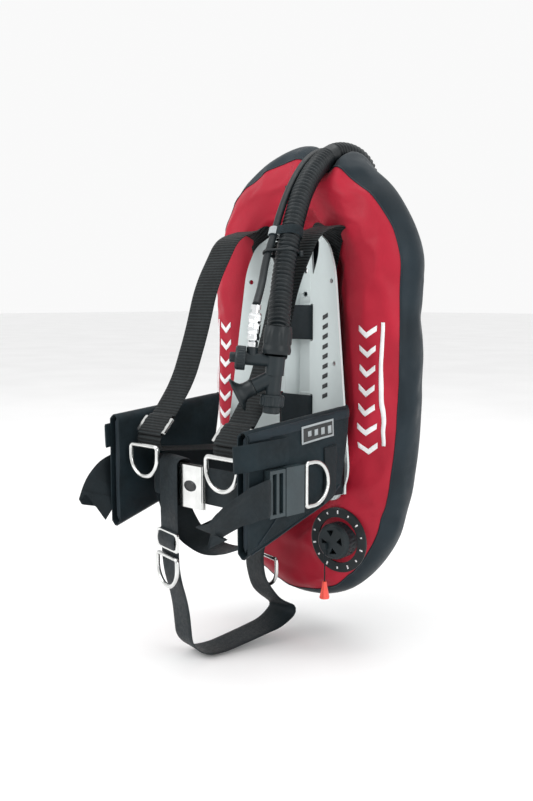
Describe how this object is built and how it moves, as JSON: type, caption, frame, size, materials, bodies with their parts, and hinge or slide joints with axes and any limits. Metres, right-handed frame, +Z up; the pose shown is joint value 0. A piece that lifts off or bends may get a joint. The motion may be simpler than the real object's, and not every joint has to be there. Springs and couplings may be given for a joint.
{
  "type": "buoyancy compensator vest",
  "caption": "Backplate and wing buoyancy compensator: aluminium plate, inflated wing, webbing harness, weight pockets, inflator hose and dump valve.",
  "frame": {"origin": "midpoint between the two tank bolt holes, on the tank side of the backplate channel", "axes": "+Z up towards the diver's head, -Y forward away from the tank, +X to the diver's left"},
  "size_m": [0.3702, 0.4858, 0.7305],
  "materials": {
    "plate": "satin",
    "red_fabric": null,
    "black_fabric": null,
    "webbing": null,
    "steel": "polished",
    "chrome": null,
    "black_plastic": null,
    "black_rubber": null,
    "bladder": null,
    "red_plastic": null
  },
  "bodies": {
    "root": {"backplate": "plate", "wing_front_panel": "red_fabric", "wing_rear_panel": "black_fabric", "wing_bladder": "bladder", "wing_centre_panel": "black_fabric", "cam_band_upper": "webbing", "cam_band_lower": "webbing", "cam_buckle_frames": "steel", "shoulder_strap_left": "webbing", "shoulder_strap_right": "webbing", "waist_strap_left": "webbing", "waist_strap_right": "webbing", "crotch_strap": "webbing", "webbing_sliders": "steel", "waist_buckle_frame": "steel", "inflator_body": "black_plastic", "hose_cuff": "black_rubber", "mouthpiece": "black_rubber", "inflate_cap": "black_plastic", "deflate_collar": "black_plastic", "hose_coupling_nipple": "chrome", "hose_coupling_stem": "chrome", "corrugated_hose": "black_rubber", "lp_hose": "black_rubber", "lp_hose_fitting": "chrome", "inflator_elbow": "black_plastic", "elbow_flange": "black_plastic", "hose_band": "black_fabric", "elastic_loop": "black_rubber", "dump_valve_ring": "black_rubber", "dump_valve_body": "black_plastic", "dump_valve_cover": "black_plastic", "dump_cord_guide": "black_plastic", "pocket_shell_left": "black_fabric", "release_buckle_female_left": "black_plastic", "pocket_shell_right": "black_fabric", "release_buckle_female_right": "black_plastic"},
    "waist_buckle_cover": {"waist_buckle_cover": "steel"},
    "shoulder_ring_left": {"shoulder_d_ring_left": "steel"},
    "shoulder_ring_right": {"shoulder_d_ring_right": "steel"},
    "hip_ring_left": {"hip_d_ring_left": "steel"},
    "crotch_ring_front": {"crotch_d_ring_front": "steel"},
    "crotch_ring_rear": {"crotch_d_ring_rear": "steel"},
    "inflate_button": {"inflate_button": "black_plastic", "inflate_spring": "steel"},
    "deflate_button": {"deflate_button": "black_plastic", "deflate_spring": "steel"},
    "coupling_sleeve": {"hose_coupling_sleeve": "chrome"},
    "dump_pull": {"dump_cord": "webbing", "dump_knob": "red_plastic"},
    "dump_disc": {"dump_valve_disc": "black_rubber", "dump_spring": "steel"},
    "cam_lever_upper": {"cam_buckle_lever_upper": "steel"},
    "cam_lever_lower": {"cam_buckle_lever_lower": "steel"},
    "weight_pouch_left": {"weight_pouch_left": "black_fabric", "release_buckle_male_left": "black_plastic", "pull_straps_left": "webbing"},
    "weight_pouch_right": {"weight_pouch_right": "black_fabric", "release_buckle_male_right": "black_plastic", "pull_straps_right": "webbing"}
  },
  "joints": [
    {"name": "waist_buckle_open", "type": "hinge", "parent": "root", "child": "waist_buckle_cover", "pos_m": [0.0235, -0.2332, -0.153], "axis": [0, 0, 1], "range_deg": [0, 110]},
    {"name": "shoulder_ring_left_swing", "type": "hinge", "parent": "root", "child": "shoulder_ring_left", "pos_m": [0.078, -0.2505, -0.104], "axis": [-1, 0, 0], "range_deg": [0, 120]},
    {"name": "shoulder_ring_right_swing", "type": "hinge", "parent": "root", "child": "shoulder_ring_right", "pos_m": [-0.078, -0.2505, -0.104], "axis": [-1, 0, 0], "range_deg": [0, 120]},
    {"name": "hip_ring_left_swing", "type": "hinge", "parent": "root", "child": "hip_ring_left", "pos_m": [0.1475, -0.166, -0.141], "axis": [0, 0, -1], "range_deg": [0, 110]},
    {"name": "crotch_ring_front_swing", "type": "hinge", "parent": "root", "child": "crotch_ring_front", "pos_m": [-0.04409, -0.23892, -0.256], "axis": [-0.9763, 0.2164, 0], "range_deg": [0, 120]},
    {"name": "crotch_ring_rear_swing", "type": "hinge", "parent": "root", "child": "crotch_ring_rear", "pos_m": [-0.00866, -0.07905, -0.28], "axis": [0.9763, -0.2164, 0], "range_deg": [0, 50]},
    {"name": "inflate_press", "type": "slide", "parent": "root", "child": "inflate_button", "axis": [0.719, 0.6895, -0.0872], "range_m": [0, 0.003], "stiffness_N_per_m": 600},
    {"name": "deflate_press", "type": "slide", "parent": "root", "child": "deflate_button", "axis": [0.0629, 0.0603, 0.9962], "range_m": [0, 0.0035], "stiffness_N_per_m": 600},
    {"name": "coupling_sleeve_pull", "type": "slide", "parent": "root", "child": "coupling_sleeve", "axis": [0.0629, 0.0603, 0.9962], "range_m": [0, 0.003], "stiffness_N_per_m": 800},
    {"name": "dump_cord_pull", "type": "slide", "parent": "root", "child": "dump_pull", "axis": [0, 0, -1], "range_m": [0, 0.01], "stiffness_N_per_m": 300},
    {"name": "dump_disc_lift", "type": "slide", "parent": "root", "child": "dump_disc", "axis": [0.1, -0.995, 0], "range_m": [0, 0.004]},
    {"name": "cam_lever_upper_open", "type": "hinge", "parent": "root", "child": "cam_lever_upper", "pos_m": [-0.031, 0.16025, 0.064], "axis": [0, 0, 1], "range_deg": [0, 110]},
    {"name": "cam_lever_lower_open", "type": "hinge", "parent": "root", "child": "cam_lever_lower", "pos_m": [-0.031, 0.16025, -0.068], "axis": [0, 0, 1], "range_deg": [0, 110]},
    {"name": "weight_pouch_left_release", "type": "slide", "parent": "root", "child": "weight_pouch_left", "axis": [0, -0.9967, -0.0815], "range_m": [0, 0.12]},
    {"name": "weight_pouch_right_release", "type": "slide", "parent": "root", "child": "weight_pouch_right", "axis": [0, -0.9967, -0.0815], "range_m": [0, 0.12]}
  ],
  "couplings": [
    {"joint": "dump_disc_lift", "follows": "dump_cord_pull", "ratio": 0.4}
  ]
}
